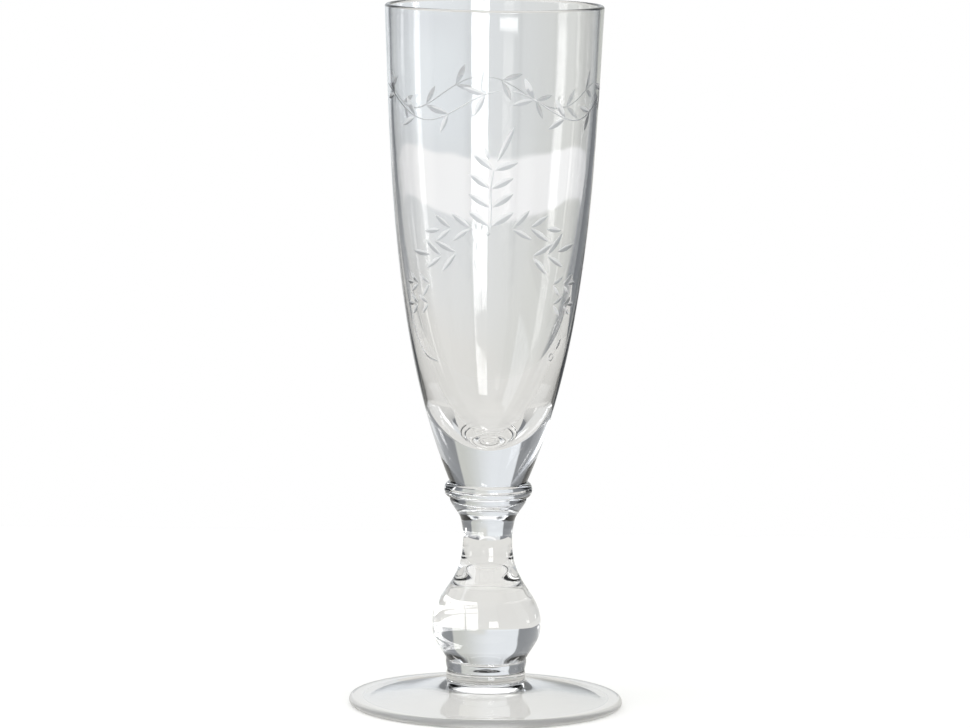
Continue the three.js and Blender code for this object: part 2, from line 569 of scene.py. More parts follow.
class TurningTree(ShapeTree):
    """The node tree that turns an outline round the axis into one closed piece of glass."""

    def __init__(self) -> None:
        """Builds the tree, with inputs for its sizes and materials."""
        sizes = {"Steps Round": "Int", "Crease Angle": "Float", "Lower Face": "Float", "Upper Face": "Float"}
        materials = {"Glass": "Material", "Lower Glass": "Material", "Upper Glass": "Material"}
        super().__init__("turn_glass", {"Outline": "Geometry", **sizes, **materials}, "Piece")
        add, given = self.add, self.given
        size = add("GeometryNodeAttributeDomainSize", given["Outline"], component="MESH")
        columns = add("ShaderNodeMath", given["Steps Round"], 1.0, operation="ADD")
        counts = {"Vertices X": size.outputs["Point Count"], "Vertices Y": columns}
        sheet = add("GeometryNodeMeshGrid", inputs=counts)
        index = add("GeometryNodeInputIndex")
        row = add("ShaderNodeMath", index, columns, operation="DIVIDE")
        row = add("ShaderNodeMath", row, operation="FLOOR")
        turn = add("ShaderNodeMath", index, columns, operation="MODULO")
        turn = add("ShaderNodeMath", turn, given["Steps Round"], operation="DIVIDE")
        angle = add("ShaderNodeMath", turn, math.tau, operation="MULTIPLY")
        position = add("GeometryNodeInputPosition")
        sampling = {"Geometry": given["Outline"], "Value": position, "Index": row}
        spot = add("GeometryNodeSampleIndex", inputs=sampling, data_type="FLOAT_VECTOR", domain="POINT")
        spun = add("ShaderNodeVectorRotate", inputs={"Vector": spot, "Angle": angle}, rotation_type="Z_AXIS")
        piece = add("GeometryNodeSetPosition", inputs={"Geometry": sheet, "Position": spun})
        piece = add("GeometryNodeFlipFaces", piece)
        piece = add("GeometryNodeMergeByDistance", inputs={"Geometry": piece, "Distance": WELD})
        folds = {"A": add("GeometryNodeInputMeshEdgeAngle"), "B": given["Crease Angle"]}
        creases = add("FunctionNodeCompare", inputs=folds, data_type="FLOAT", operation="GREATER_THAN")
        smooth = {"Geometry": piece, "Shade Smooth": True}
        piece = add("GeometryNodeSetShadeSmooth", inputs=smooth, domain="FACE")
        sharp = {"Geometry": piece, "Selection": creases, "Shade Smooth": False}
        piece = add("GeometryNodeSetShadeSmooth", inputs=sharp, domain="EDGE")
        height = add("ShaderNodeSeparateXYZ", position).outputs["Z"]
        piece = add("GeometryNodeRealizeInstances", piece)
        piece = add("GeometryNodeSetMaterial", inputs={"Geometry": piece, "Material": given["Glass"]})
        for end in ("Lower", "Upper"):
            level = {"A": height, "B": given[end + " Face"], "Epsilon": SAME_LEVEL}
            at_face = add("FunctionNodeCompare", inputs=level, data_type="FLOAT", operation="EQUAL")
            glazing = {"Geometry": piece, "Selection": at_face, "Material": given[end + " Glass"]}
            piece = add("GeometryNodeSetMaterial", inputs=glazing)
        add("NodeGroupOutput", piece)


@dataclass
class TurnedPiece:
    """One gather of glass, turned round the axis of the glass. Its place and reach come from its CAD node.

    Sizes are in millimetres. A point of its outline is a radius and a height over its own lower face.
    """

    glass: bpy.types.Material
    lower_glass: bpy.types.Material
    upper_glass: bpy.types.Material
    node: ClassVar[str]
    slot: ClassVar[Slot]
    steps_round: ClassVar[int] = 192
    crease_angle: ClassVar[float] = math.radians(24)
    low: float = field(init=False)
    high: float = field(init=False)
    reach: float = field(init=False)

    def __post_init__(self) -> None:
        """Reads the piece's place from the frame."""
        lowest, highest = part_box(self.node)
        self.low = lowest[2] / MM
        self.high = highest[2] / MM
        self.reach = highest[0] / MM

    @property
    def height(self) -> float:
        """The piece's height."""
        return self.high - self.low

    def outline(self) -> list[Point]:
        """The outline's points."""
        raise NotImplementedError

    def build(self) -> bpy.types.Object:
        """Turns the outline into the finished piece.

        Returns:
            The piece, which rides on the body and stands for its CAD node.
        """
        points = [(r * MM, 0.0, (self.low + z) * MM) for r, z in self.outline()]
        piece = add_line(self.node + "_glass", points)
        sizes = {
            "Steps Round": self.steps_round,
            "Crease Angle": self.crease_angle,
            "Lower Face": self.low * MM,
            "Upper Face": self.high * MM,
            "Glass": self.glass,
            "Lower Glass": self.lower_glass,
            "Upper Glass": self.upper_glass,
        }
        plain_mesh(piece, TurningTree.made(), sizes)
        return self.finish(piece)

    def finish(self, piece: bpy.types.Object) -> bpy.types.Object:
        """Puts the piece in the frame.

        Args:
            piece: The object with its finished mesh.

        Returns:
            The same object.
        """
        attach(piece, BODY)
        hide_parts(self.node)
        return piece


@dataclass
class Foot(TurnedPiece):
    """The domed disc that the glass stands on: evenly thick, hollow underneath, with a round edge."""

    worn_glass: bpy.types.Material
    node: ClassVar[str] = "foot"
    slot: ClassVar[Slot] = Slot.FOOT
    edge_thickness: float = 2.4
    seat_radius: float = 10.55
    fillet_width: float = 3.2
    fillet_height: float = 1.1
    edge_ease: float = 5.0
    ring_width: float = 2.6
    hollow: float = 4.2
    hollow_crown_reach: float = 15.0
    hollow_lean: Point = (13.3, 2.1)
    worn_share: float = 0.97  # of the edge's thickness

    def outline(self) -> list[Point]:
        """Draws the outline, from the middle of the underside over the edge to the seat of the collar.

        Returns:
            The outline's points.
        """
        edge = self.edge_thickness / 2
        edge_centre = self.reach - edge
        ring = edge_centre - self.ring_width
        fillet = (self.seat_radius + self.fillet_width, self.height - self.fillet_height)
        run, rise = edge_centre - fillet[0], fillet[1] - self.edge_thickness
        seat = (self.seat_radius, self.height)
        return outline_of(
            curve(
                (0, self.hollow),
                (self.hollow_crown_reach, self.hollow),
                (ring - self.hollow_lean[0], self.hollow_lean[1]),
                (ring, 0),
            ),
            line((ring, 0), (edge_centre, 0)),
            rounding((edge_centre, edge), edge, -90, 90),
            curve(
                (edge_centre, self.edge_thickness),
                (edge_centre - self.edge_ease, self.edge_thickness),
                (fillet[0] + run / 2, fillet[1] - rise / 2),
                fillet,
            ),
            curve(
                fillet,
                (fillet[0] - self.fillet_width / 2, fillet[1] + rise / run * self.fillet_width / 2),
                (seat[0], seat[1] - self.fillet_height / 2),
                seat,
                steps=16,
            ),
            line(seat, (0, self.height)),
        )

    def finish(self, piece: bpy.types.Object) -> bpy.types.Object:
        """Gives the round edge, up to just under its top, its worn finish.

        Args:
            piece: The turned foot.

        Returns:
            The same object.
        """
        centres = vectors(piece.data.polygons, "center") / MM
        outside = off_axis(centres)[0] > self.reach - self.edge_thickness / 2
        dress(piece.data, outside & (centres[:, 2] < self.worn_share * self.edge_thickness), self.worn_glass)
        return super().finish(piece)


@dataclass
class FootCollar(TurnedPiece):
    """The low collar between the foot and the bulb: two soft bands with a groove between them."""

    node: ClassVar[str] = "foot_collar"
    slot: ClassVar[Slot] = Slot.STEM
    lower_radius: float = 10.55
    upper_radius: float = 10.75
    groove_radius: float = 10.35
    lower_band: float = 2.8
    bulge: float = 0.3

    def outline(self) -> list[Point]:
        """Draws the outline, from the middle of the lower face to the middle of the upper one.

        Returns:
            The outline's points.
        """
        lower, upper = (self.lower_radius, 0), (self.upper_radius, self.height)
        groove = (self.groove_radius, self.lower_band)
        bands = outline_of(band(lower, self.bulge, groove), band(groove, self.bulge, upper))
        return outline_of(line((0, 0), lower), bands, line(upper, (0, self.height)))


@dataclass
class BalusterStem(TurnedPiece):
    """The solid stem: a slim neck over a large bulb, drawn from one gather."""

    node: ClassVar[str] = "baluster_stem"
    slot: ClassVar[Slot] = Slot.STEM
    base_radius: float = 10.75
    base_lean: Point = (3.5, 5.9)
    bulb_rise: float = 10.2
    bulb_underside: float = 4.8
    bulb_shoulder: float = 7.6
    neck_radius: float = 6.67
    neck_drop: float = 5.7
    neck_ease: float = 12.0
    neck_round: float = 3.0
    top_radius: float = 7.25
    top_drop: float = 1.5

    def outline(self) -> list[Point]:
        """Draws the outline, from the middle of the lower face round the bulb and up the neck.

        Returns:
            The outline's points.
        """
        neck_height = self.height - self.neck_drop
        base, top = (self.base_radius, 0), (self.top_radius, self.height)
        widest, neck = (self.reach, self.bulb_rise), (self.neck_radius, neck_height)
        return outline_of(
            line((0, 0), base),
            curve(
                base,
                (base[0] + self.base_lean[0], self.base_lean[1]),
                (self.reach, self.bulb_rise - self.bulb_underside),
                widest,
            ),
            curve(
                widest,
                (self.reach, self.bulb_rise + self.bulb_shoulder),
                (self.neck_radius, neck_height - self.neck_ease),
                neck,
            ),
            curve(
                neck,
                (self.neck_radius, neck_height + self.neck_round),
                ((self.top_radius + self.neck_radius) / 2, self.height - self.top_drop),
                top,
                steps=16,
            ),
            line(top, (0, self.height)),
        )


@dataclass
class CollarStep(TurnedPiece):
    """The tapering tier of the upper collar, which leads from the ring down into the neck."""

    node: ClassVar[str] = "collar_step"
    slot: ClassVar[Slot] = Slot.STEM
    stem_radius: float = 7.25
    land: float = 0.7
    shoulder: float = 1.2
    sweep: Point = (0.35, 2.0)

    def outline(self) -> list[Point]:
        """Draws the outline, from the middle of the lower face up the taper to the ring.

        Returns:
            The outline's points.
        """
        bottom, top = (self.stem_radius, 0), (self.reach, self.height)
        landing = (self.reach, self.height - self.land)
        lower_handle = (bottom[0] + self.sweep[0], self.sweep[1])
        taper = curve(bottom, lower_handle, (landing[0], landing[1] - self.shoulder), landing)
        return outline_of(line((0, 0), bottom), taper, line(landing, top), line(top, (0, self.height)))


@dataclass
class CollarRing(TurnedPiece):
    """The bead of glass that the bowl stands on."""

    node: ClassVar[str] = "collar_ring"
    slot: ClassVar[Slot] = Slot.STEM
    bead_steps: ClassVar[int] = 32
    lower_radius: float = 10.35
    upper_radius: float = 10.4
    bulge: float = 1.5

    def outline(self) -> list[Point]:
        """Draws the outline, from the middle of the lower face round the bead.

        Returns:
            The outline's points.
        """
        lower, upper = (self.lower_radius, 0), (self.upper_radius, self.height)
        bead = band(lower, self.bulge, upper, self.bead_steps)
        return outline_of(line((0, 0), lower), bead, line(upper, (0, self.height)))


@dataclass(frozen=True)
class Branch:
    """A twig with its leaves, drawn through points on the outside of the bowl.

    A point is an azimuth in degrees, 0 at the front and positive to its right, and a height in millimetres
    over the table. Lengths are in millimetres.
    """

    name: str
    path: tuple[Point, ...]
    pairs: int = 0
    first_leaf: float = 1.0
    spacing: float = 5.0
    spread: float = 50.0  # degrees between the twig and a leaf
    leaf_length: float = 5.5
    leaf_width: float = 1.5
    leaf_depth: float = 0.42
    leaf_bend: float = 0.35
    stalk: float = 0.35
    end_leaf: float = 0.0
    twig_width: float = 0.4
    twig_depth: float = 0.12
    unevenness: float = 0.08  # of a leaf's size, and in radians of its angle
    seed: int = 1
    mirrored_seed: ClassVar[int] = 50  # what is added to the seed of the branch on the other side
    counted: ClassVar[tuple[str, ...]] = ("pairs", "seed")
    units: ClassVar[dict[str, float]] = {  # of the sizes that are no lengths
        "pairs": 1,
        "spread": math.radians(1),
        "unevenness": 1,
        "seed": 1,
    }

    def mirrored(self) -> "Branch":
        """The same branch on the other side of the front."""
        path = tuple((-azimuth, height) for azimuth, height in self.path)
        return replace(self, path=path, seed=self.seed + self.mirrored_seed)

    @property
    def mean_height(self) -> float:
        """The height half way between its lowest and its highest point."""
        heights = [height for _, height in self.path]
        return (min(heights) + max(heights)) / 2

    @classmethod
    def sizes(cls) -> dict[str, str]:
        """Names each size as an input of the branch's tree.

        Returns:
            The size's own name to the input's name.
        """
        names = [size.name for size in fields(cls) if size.name not in ("name", "path")]
        return {name: name.replace("_", " ").title() for name in names}

    def inputs(self) -> dict[str, float]:
        """The sizes in metres and radians, under the names of the tree's inputs."""
        sizes = self.sizes().items()
        return {label: getattr(self, size) * self.units.get(size, MM) for size, label in sizes}


class TouchTree(ShapeTree):
    """The body that the wheel grinds away along a line: V-shaped, and running out to a point at both ends.

    At full depth its keel lies a Depth under the sheet and its lid a Depth over it.
    """

    corners: ClassVar[int] = 3  # of its cross-section: one edge of the lid, the keel and the other edge
    keel: ClassVar[int] = 1
    apart: ClassVar[float] = 0.1  # two corners' numbers that differ by less are the same

    def __init__(self) -> None:
        """Builds the tree: a grid whose rows run along the line, and whose last column closes the section."""
        sizes = {"Line": "Geometry", "Steps": "Int", "Width": "Float", "Depth": "Float", "Fullness": "Float"}
        super().__init__("wheel_touch", sizes, "Stone")
        add, given = self.add, self.given
        columns = self.corners + 1
        rows = add("ShaderNodeMath", given["Steps"], 1.0, operation="ADD")
        sheet = add("GeometryNodeMeshGrid", inputs={"Vertices X": rows, "Vertices Y": columns})
        index = add("GeometryNodeInputIndex")
        row = add("ShaderNodeMath", index, columns, operation="DIVIDE")
        row = add("ShaderNodeMath", row, operation="FLOOR")
        corner = add("ShaderNodeMath", index, columns, operation="MODULO")
        corner = add("ShaderNodeMath", corner, self.corners, operation="MODULO")
        along = add("ShaderNodeMath", row, given["Steps"], operation="DIVIDE")
        off_middle = add("ShaderNodeMath", along, 2.0, -1.0, operation="MULTIPLY_ADD")
        off_middle = add("ShaderNodeMath", off_middle, operation="ABSOLUTE")
        lost = add("ShaderNodeMath", off_middle, given["Fullness"], operation="POWER")
        full = add("ShaderNodeMath", 1.0, lost, operation="SUBTRACT")
        sampling = {"Curves": given["Line"], Along.FACTOR.value: along}
        on_line = add("GeometryNodeSampleCurve", inputs=sampling, mode=Along.FACTOR.name, use_all_curves=True)
        tangent = on_line.outputs["Tangent"]
        sideways = add("ShaderNodeVectorMath", (0.0, 0.0, 1.0), tangent, operation="CROSS_PRODUCT")
        side = add("ShaderNodeMath", self.keel, corner, operation="SUBTRACT")
        reach = add("ShaderNodeMath", full, given["Width"], operation="MULTIPLY")
        reach = add("ShaderNodeMath", side, reach, operation="MULTIPLY")
        out = add("ShaderNodeVectorMath", sideways, inputs={"Scale": reach}, operation="SCALE")
        is_keel = add("ShaderNodeMath", corner, self.keel, self.apart, operation="COMPARE")
        drop = add("ShaderNodeMath", full, -2.0, operation="MULTIPLY")
        drop = add("ShaderNodeMath", is_keel, drop, operation="MULTIPLY")
        height = add("ShaderNodeMath", drop, given["Depth"], given["Depth"], operation="MULTIPLY_ADD")
        rise = add("ShaderNodeCombineXYZ", inputs={"Z": height})
        place = add("ShaderNodeVectorMath", on_line.outputs["Position"], out, operation="ADD")
        place = add("ShaderNodeVectorMath", place, rise, operation="ADD")
        stone = add("GeometryNodeSetPosition", inputs={"Geometry": sheet, "Position": place})
        stone = add("GeometryNodeMergeByDistance", inputs={"Geometry": stone, "Distance": WELD})
        add("NodeGroupOutput", stone)


class BranchTree(ShapeTree):
    """A branch in a flat sheet: the twig, pairs of leaves along it and a leaf at its tip."""

    twig_step: ClassVar[float] = 0.6 * MM
    least_twig_steps: ClassVar[int] = 10
    twig_fullness: ClassVar[float] = 16.0  # it keeps its depth almost up to its ends
    leaf_fullness: ClassVar[float] = 2.0  # it is deepest in its middle
    leaf_steps: ClassVar[int] = 18
    leaf_curve_steps: ClassVar[int] = 24
    run_out: ClassVar[float] = 0.2071  # of a leaf's length: how far the stone rises on past each end of it
    end_leaf_bend: ClassVar[float] = 0.5  # of the other leaves' bend

    def __init__(self) -> None:
        """Builds the tree, with the sizes of a branch as its inputs."""
        sizes = Branch.sizes().items()
        kinds = {label: "Int" if size in Branch.counted else "Float" for size, label in sizes}
        super().__init__("leafy_branch", {"Path": "Geometry", **kinds, "Ground": "Material"}, "Stones")
        add, given = self.add, self.given
        self.path = add("GeometryNodeMeshToCurve", given["Path"])
        length = add("GeometryNodeCurveLength", self.path)
        steps = add("ShaderNodeMath", length, self.twig_step, operation="DIVIDE")
        steps = add("ShaderNodeMath", steps, self.least_twig_steps, operation="MAXIMUM")
        twig = self.where("Twig Width", self.touch(Part.TWIG, self.path, steps, self.twig_fullness))

        index = add("GeometryNodeInputIndex")
        spacing, first_leaf = given["Spacing"], given["First Leaf"]
        distance = add("ShaderNodeMath", index, spacing, first_leaf, operation="MULTIPLY_ADD")
        position, turn = self.on_path(Along.LENGTH, distance)
        nodes = add("GeometryNodePoints", inputs={"Count": given["Pairs"], "Position": position})
        left_bend = add("ShaderNodeMath", given["Leaf Bend"], -1.0, operation="MULTIPLY")
        left_leaf = self.leaf(given["Leaf Length"], left_bend)
        left_turn = add("ShaderNodeMath", turn, given["Spread"], operation="ADD")
        left = self.placed(nodes, left_leaf, left_turn, draw=1)
        right_leaf = self.leaf(given["Leaf Length"], given["Leaf Bend"])
        right_turn = add("ShaderNodeMath", turn, given["Spread"], operation="SUBTRACT")
        right = self.placed(nodes, right_leaf, right_turn, draw=2)

        position, turn = self.on_path(Along.FACTOR, 1.0)
        tip = add("GeometryNodePoints", inputs={"Count": 1, "Position": position})
        end_bend = add("ShaderNodeMath", given["Leaf Bend"], self.end_leaf_bend, operation="MULTIPLY")
        crown = self.placed(tip, self.leaf(given["End Leaf"], end_bend), turn, draw=3)
        crown = self.where("End Leaf", crown)

        joined = add("GeometryNodeJoinGeometry")
        for part in (twig, left, right, crown):
            self.tree.links.new(part.outputs[0], joined.inputs[0])
        stones = add("GeometryNodeRealizeInstances", joined)
        stones = add("GeometryNodeSetMaterial", inputs={"Geometry": stones, "Material": given["Ground"]})
        add("NodeGroupOutput", stones)

    def touch(self, part: Part, path: bpy.types.Node, steps: Value, fullness: float) -> bpy.types.Node:
        """Lays one touch of the wheel along a line.

        Args:
            part: The part of the branch whose width and depth it has.
            path: The line.
            steps: How many steps it takes.
            fullness: How far it keeps its depth towards its ends.

        Returns:
            The node with the touch's body.
        """
        inputs = {
            "Line": path,
            "Steps": steps,
            "Width": self.given[part + " Width"],
            "Depth": self.given[part + " Depth"],
            "Fullness": fullness,
        }
        return self.add("GeometryNodeGroup", inputs=inputs, node_tree=TouchTree.made())

    def leaf(self, length: Value, bend: Value) -> bpy.types.Node:
        """Makes one leaf that points along X and starts a stalk's length from the twig.

        Args:
            length: Its length.
            bend: How far its middle is steered aside.

        Returns:
            The node with the leaf's body.
        """
        add, stalk = self.add, self.given["Stalk"]
        start = add("ShaderNodeMath", length, -self.run_out, stalk, operation="MULTIPLY_ADD")
        end = add("ShaderNodeMath", length, 1 + self.run_out, stalk, operation="MULTIPLY_ADD")
        middle = add("ShaderNodeMath", start, end, operation="ADD")
        middle = add("ShaderNodeMath", middle, 0.5, operation="MULTIPLY")
        corners = {
            "Start": add("ShaderNodeCombineXYZ", start),
            "Middle": add("ShaderNodeCombineXYZ", middle, bend),
            "End": add("ShaderNodeCombineXYZ", end),
        }
        inputs = {"Resolution": self.leaf_curve_steps, **corners}
        middle_line = add("GeometryNodeCurveQuadraticBezier", inputs=inputs)
        return self.touch(Part.LEAF, middle_line, self.leaf_steps, self.leaf_fullness)

    def on_path(self, way: Along, at: Value) -> tuple[bpy.types.NodeSocket, bpy.types.Node]:
        """Finds a place on the twig's line.

        Args:
            way: How the place is stated.
            at: The place.

        Returns:
            Its position, and the turn of the line there.
        """
        inputs = {"Curves": self.path, way.value: at}
        found = self.add("GeometryNodeSampleCurve", inputs=inputs, use_all_curves=True, mode=way.name)
        axes = self.add("ShaderNodeSeparateXYZ", found.outputs["Tangent"]).outputs
        turn = self.add("ShaderNodeMath", axes["Y"], axes["X"], operation="ARCTAN2")
        return found.outputs["Position"], turn

    def placed(self, points: bpy.types.Node, body: bpy.types.Node, turn: Value, draw: int) -> bpy.types.Node:
        """Stands one body on each point, turned and a little uneven in size and angle.

        Args:
            points: The points.
            body: What stands on them.
            turn: The turn of each.
            draw: What tells its random draws from those of the branch's other bodies.

        Returns:
            The node with the bodies.
        """
        add, given = self.add, self.given
        least = add("ShaderNodeMath", given["Unevenness"], -1.0, operation="MULTIPLY")
        seed = add("ShaderNodeMath", given["Seed"], draw, operation="ADD")
        draws = {"Min": least, "Max": given["Unevenness"], "Seed": seed}
        uneven = add("FunctionNodeRandomValue", inputs=draws, data_type="FLOAT")
        angle = add("ShaderNodeMath", turn, uneven, operation="ADD")
        rotation = add("ShaderNodeCombineXYZ", inputs={"Z": angle})
        scale = add("ShaderNodeMath", 1.0, uneven, operation="ADD")
        inputs = {"Points": points, "Instance": body, "Rotation": rotation, "Scale": scale}
        return add("GeometryNodeInstanceOnPoints", inputs=inputs)

    def where(self, size: str, body: bpy.types.Node) -> bpy.types.Node:
        """Keeps a body only where the size that an input names is over 0, and returns its node."""
        wanted = self.add("ShaderNodeMath", self.given[size], 0.0, operation="GREATER_THAN")
        return self.add("GeometryNodeSwitch", inputs={"Switch": wanted, "True": body}, input_type="GEOMETRY")


class CuttingTree(ShapeTree):
    """Grinds every stone out of the piece, each as a body of its own, so that cuts may cross."""

    def __init__(self) -> None:
        """Builds the tree. The cuts keep the stones' material."""
        super().__init__("wheel_cutting", {"Piece": "Geometry", "Stones": "Object"}, "Cut Piece")
        add, given = self.add, self.given
        stones = add("GeometryNodeObjectInfo", inputs={"Object": given["Stones"]}, transform_space="ORIGINAL")
        bodies = {"Geometry": stones.outputs["Geometry"], "Group ID": add("GeometryNodeInputMeshIsland")}
        apart = add("GeometryNodeSplitToInstances", inputs=bodies, domain="FACE")
        meshes = {"Mesh 1": given["Piece"], "Mesh 2": apart}
        cut = add("GeometryNodeMeshBoolean", inputs=meshes, operation="DIFFERENCE", solver="MANIFOLD")
        add("NodeGroupOutput", add("GeometryNodeRealizeInstances", cut))


@dataclass(frozen=True)
class WheelCutter:
    """Cuts branches into the outside of a turned piece and gives the cuts their ground finish.

    The slopes of each cut are split by the way they face: the upper slope gets a greyer, rougher copy of the
    ground glass as painted shade, and the lower one a white copy that scatters more, as painted light.
    """

    # the cuts' ground glass; the slopes that keep it after the split show its white copy, as painted light
    ground: bpy.types.Material
    coarse: bpy.types.Material
    coarse_side: Point = (-0.4, 0.9)  # to the right and up: where the slopes with painted shade face

    def stones(self, piece: "Bowl", branches: Iterable[tuple[Branch, Sequence[float]]]) -> bpy.types.Object:
        """Bends every branch round the piece.

        Args:
            piece: The piece that is cut.
            branches: Each branch, with the azimuths in degrees at which it is repeated.

        Returns:
            An object that holds all that the wheel grinds away.
        """
        points: list[np.ndarray] = []
        faces: list[tuple[int, ...]] = []
        count = 0
        for branch, azimuths in branches:
            radius = piece.wall(branch.mean_height)[0]
            flat = self.flat(branch, radius)
            sheet = vectors(flat.vertices, "co") / MM
            corners = [tuple(face.vertices) for face in flat.polygons]
            bpy.data.meshes.remove(flat)
            walls = np.array([piece.wall(height) for height in sheet[:, 1]])
            for azimuth in azimuths:
                turn = sheet[:, 0] / radius + math.radians(azimuth)
                reach = walls[:, 0] + sheet[:, 2] * walls[:, 1]
                height = sheet[:, 1] + sheet[:, 2] * walls[:, 2]
                points.append(np.column_stack((reach * np.sin(turn), -reach * np.cos(turn), height)) * MM)
                faces.extend(tuple(corner + count for corner in face) for face in corners)
                count += len(sheet)
        mesh = bpy.data.meshes.new("stones")
        mesh.from_pydata(np.vstack(points).tolist(), [], faces)
        mesh.materials.append(self.ground)
        return add_object("stones", mesh)

    def flat(self, branch: Branch, radius: float) -> bpy.types.Mesh:
        """Lays out one branch in a flat sheet.

        Args:
            branch: The branch.
            radius: The piece's radius there, in millimetres.

        Returns:
            Its mesh, with the way round as X, the height as Y and the way outwards as Z.
        """
        corners = [(math.radians(azimuth) * radius, height) for azimuth, height in branch.path]
        sheet = add_line(branch.name, [(x * MM, y * MM, 0.0) for x, y in smooth_path(corners)])
        plain_mesh(sheet, BranchTree.made(), {**branch.inputs(), "Ground": self.ground})
        flat = sheet.data
        bpy.data.objects.remove(sheet)
        return flat

    def cut(self, body: bpy.types.Object, stones: bpy.types.Object) -> None:
        """Grinds the stones out of a piece.

        Args:
            body: The piece's object.
            stones: What is ground away, which is removed afterwards.
        """
        plain_mesh(body, CuttingTree.made(), {"Stones": stones})
        mesh = stones.data
        bpy.data.objects.remove(stones)
        bpy.data.meshes.remove(mesh)
        self.grade(body.data)

    def grade(self, mesh: bpy.types.Mesh) -> None:
        """Gives the slopes that face up their own grey finish, as painted shade.

        Args:
            mesh: The cut piece.
        """
        cut = numbers(mesh.polygons, "material_index") == list(mesh.materials).index(self.ground)
        facing = vectors(mesh.polygons, "normal")
        _, outward = off_axis(vectors(mesh.polygons, "center"))
        rightward = facing[:, 1] * outward[:, 0] - facing[:, 0] * outward[:, 1]
        coarse = rightward * self.coarse_side[0] + facing[:, 2] * self.coarse_side[1] > 0
        dress(mesh, cut & coarse, self.coarse)


@dataclass(frozen=True)
class Garland:
    """The pattern on the bowl: a wavy garland, and under it an upright sprig between drooping sprays.

    It is the laurel garland that glass cutters have used for centuries, laid out as in the photograph.
    """

    waves: int = 4
    crest_azimuth: float = 6.0
    crest_height: float = 168.9
    trough_height: float = 160.6
    leaves_a_wave: int = 4
    wave_lap: float = 0.4  # degrees that a wave runs on past each end
    wave_points: int = 17
    ring_centre: Point = (50.6, 96.8)
    ring_reach: Point = (2.4, 0.95)  # in degrees to the side, and in millimetres up
    ring_arc: float = 4.0  # radians that each of its two touches covers
    ring_points: int = 12

    def branches(self) -> list[tuple[Branch, Sequence[float]]]:
        """Lays out the pattern.

        Returns:
            Every branch, with the azimuths at which it is repeated.
        """
        rounds = [i * 360 / self.waves for i in range(self.waves)]
        motif = [*self.sprig(), *self.sprays(), *self.low_sprays(), *self.tendrils()]
        return [(self.wavy_garland(), rounds), *((branch, (0.0,)) for branch in motif)]

    @staticmethod
    def sprays() -> list[Branch]:
        """Lays out the two rows of sprays beside the foot of the sprig.

        Returns:
            The upper pair and the lower pair, each with its right spray first.
        """
        upper = Branch(
            "upper_spray",
            path=((7.0, 131.9), (16.0, 132.4), (26.7, 132.3), (33.0, 131.9)),
            pairs=2,
            first_leaf=2.0,
            spread=36,
            leaf_length=6.4,
            end_leaf=5.2,
            twig_width=0.0,
            seed=3,
        )
        lower = Branch(
            "lower_spray",
            path=((17.0, 125.6), (25.6, 124.6), (34.1, 124.6), (43.0, 125.4)),
            pairs=2,
            first_leaf=3.6,
            spacing=4.6,
            spread=37,
            leaf_length=6.9,
            end_leaf=6.4,
            twig_width=0.0,
            seed=4,
        )
        upper_left = ((-3.0, 132.2), (-12.2, 132.3), (-23.5, 132.0), (-31.0, 131.6))
        lower_left = ((-12.9, 125.9), (-21.0, 125.6), (-29.1, 124.4), (-39.5, 124.6))
        return [
            upper,
            replace(upper, path=upper_left, first_leaf=4.0, spacing=5.5, seed=53),
            lower,
            replace(lower, path=lower_left, seed=54),
        ]

    @staticmethod
    def low_sprays() -> list[Branch]:
        """Lays out the two rows of small sprays at either side, where the bowl starts to close in.

        Returns:
            The right rows, then the left ones.
        """
        row = Branch(
            "low_spray",
            path=((37.5, 116.9), (49.0, 116.3), (57.0, 116.4)),
            pairs=2,
            first_leaf=1.8,
            spacing=4.4,
            spread=38,
            leaf_length=4.4,
            leaf_width=1.1,
            leaf_depth=0.15,
            end_leaf=3.6,
            twig_width=0.0,
            seed=7,
        )
        lowest = replace(row, path=((39.5, 111.5), (51.0, 110.8), (59.0, 110.7)), seed=8)
        return [row, lowest, row.mirrored(), lowest.mirrored()]

    def tendrils(self) -> list[Branch]:
        """Lays out a tendril at either side, below the low sprays.

        The right one carries a small ring and two leaves.

        Returns:
            The tendrils, the leaves and the two arcs of the ring.
        """
        right_path = ((64.2, 112.6), (58.0, 109.9), (55.0, 105.4), (47.5, 101.2))
        left_path = ((-65.5, 109.0), (-64.0, 104.0), (-61.0, 100.5), (-53.1, 96.8), (-39.9, 95.4))
        right = Branch("tendril", path=right_path, twig_width=0.5, seed=9)
        leaf = Branch(
            "tendril_leaf",
            path=((47.0, 102.0), (47.6, 102.5)),
            end_leaf=4.6,
            leaf_width=1.0,
            leaf_depth=0.16,
            twig_width=0.0,
            seed=10,
        )
        (across, up), (reach_across, reach_up) = self.ring_centre, self.ring_reach
        arcs = []
        for start in (0.0, math.pi):
            turns = np.linspace(start, start + self.ring_arc, self.ring_points)
            path = tuple((across + reach_across * math.cos(a), up + reach_up * math.sin(a)) for a in turns)
            arcs.append(Branch("ring_arc", path=path))
        lower_leaf = replace(leaf, path=((53.4, 97.6), (54.2, 98.1)), end_leaf=3.6)
        return [replace(right, path=left_path), right, leaf, lower_leaf, *arcs]

    def wavy_garland(self) -> Branch:
        """Lays out one wave of the upper garland, which grows towards the left.

        Returns:
            The wave.
        """
        period = 360 / self.waves
        mean = (self.crest_height + self.trough_height) / 2
        swing = (self.crest_height - self.trough_height) / 2
        turns = np.linspace(-self.wave_lap, period + self.wave_lap, self.wave_points)
        path = tuple((self.crest_azimuth - a, mean + swing * math.cos(a / period * math.tau)) for a in turns)
        return Branch(
            "wavy_garland",
            path=path,
            pairs=self.leaves_a_wave,
            first_leaf=5.3,
            spacing=11.4,
            spread=40,
            leaf_length=5.9,
            leaf_width=1.55,
            seed=11,
        )

